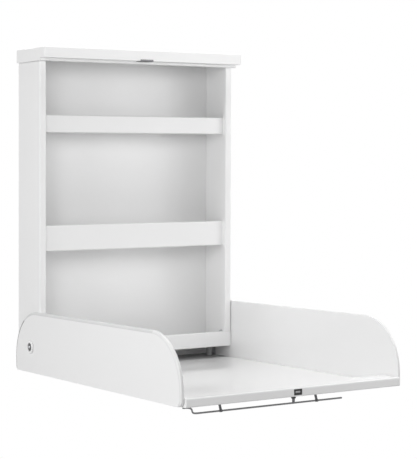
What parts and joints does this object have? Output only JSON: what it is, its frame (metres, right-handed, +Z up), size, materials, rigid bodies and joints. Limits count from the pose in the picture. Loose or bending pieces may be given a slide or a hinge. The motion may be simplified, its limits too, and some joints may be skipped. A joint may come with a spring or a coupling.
{
  "type": "wall-mounted baby changing station",
  "caption": "Wall-mounted steel shelf cabinet with an overhanging lid and a fold-down changing tray between rounded side panels, with a slide latch and a towel rail.",
  "frame": {"origin": "On the rear face of the back panel, in the wall plane, midway between the sides and on the upper line of wall screws.", "axes": "+Z is up, +Y points into the wall and +X points to the right for a person facing the station; the tray folds out along -Y."},
  "size_m": [0.6098, 0.824, 0.8431],
  "materials": {
    "powder_coat": "satin white powder coat with a fine texture",
    "white_lacquer": "white lacquered board with eased edges",
    "zinc_steel": "bright zinc-plated steel",
    "white_nylon": "plain moulded nylon",
    "black_plastic": "fine-grained moulded plastic",
    "grey_rubber": "plain rubber"
  },
  "bodies": {
    "cabinet": {"back_panel": "powder_coat", "upper_shelf": "powder_coat", "middle_shelf": "powder_coat", "bottom_shelf": "powder_coat", "lid": "powder_coat", "stop_rail": "powder_coat", "left_wall": "powder_coat", "right_wall": "powder_coat", "left_pivot_plate": "powder_coat", "right_pivot_plate": "powder_coat", "strike_plate": "zinc_steel", "left_strike_rivet": "zinc_steel", "right_strike_rivet": "zinc_steel", "upper_left_wall_screw": "zinc_steel", "upper_right_wall_screw": "zinc_steel", "lower_left_wall_screw": "zinc_steel", "lower_right_wall_screw": "zinc_steel", "left_lid_strip": "zinc_steel", "right_lid_strip": "zinc_steel", "left_rear_lid_screw": "zinc_steel", "left_front_lid_screw": "zinc_steel", "right_rear_lid_screw": "zinc_steel", "right_front_lid_screw": "zinc_steel", "left_pivot_bolt": "zinc_steel", "right_pivot_bolt": "zinc_steel", "left_pivot_nut": "zinc_steel", "right_pivot_nut": "zinc_steel", "left_stop_stud": "zinc_steel", "right_stop_stud": "zinc_steel", "left_pivot_spacer": "white_nylon", "right_pivot_spacer": "white_nylon", "left_stop_buffer": "grey_rubber", "right_stop_buffer": "grey_rubber"},
    "tray": {"table_pan": "powder_coat", "left_pivot_ring": "powder_coat", "right_pivot_ring": "powder_coat", "left_panel": "white_lacquer", "right_panel": "white_lacquer", "left_pivot_bush": "white_nylon", "right_pivot_bush": "white_nylon", "towel_rail": "zinc_steel", "left_towel_post": "zinc_steel", "right_towel_post": "zinc_steel", "left_front_bracket": "zinc_steel", "right_front_bracket": "zinc_steel", "left_rear_bracket": "zinc_steel", "right_rear_bracket": "zinc_steel", "left_front_bracket_screw": "zinc_steel", "right_front_bracket_screw": "zinc_steel", "left_rear_bracket_screw": "zinc_steel", "right_rear_bracket_screw": "zinc_steel", "latch_case": "black_plastic"},
    "latch": {"latch_bolt": "zinc_steel", "latch_knob": "zinc_steel"}
  },
  "joints": [
    {"name": "tray_fold", "type": "hinge", "parent": "cabinet", "child": "tray", "pos_m": [0, -0.092, -0.743], "axis": [-1, 0, 0], "range_deg": [0, 88.3]},
    {"name": "latch_slide", "type": "slide", "parent": "tray", "child": "latch", "axis": [0, -0.9996, 0.0297], "range_m": [0, 0.01]}
  ]
}
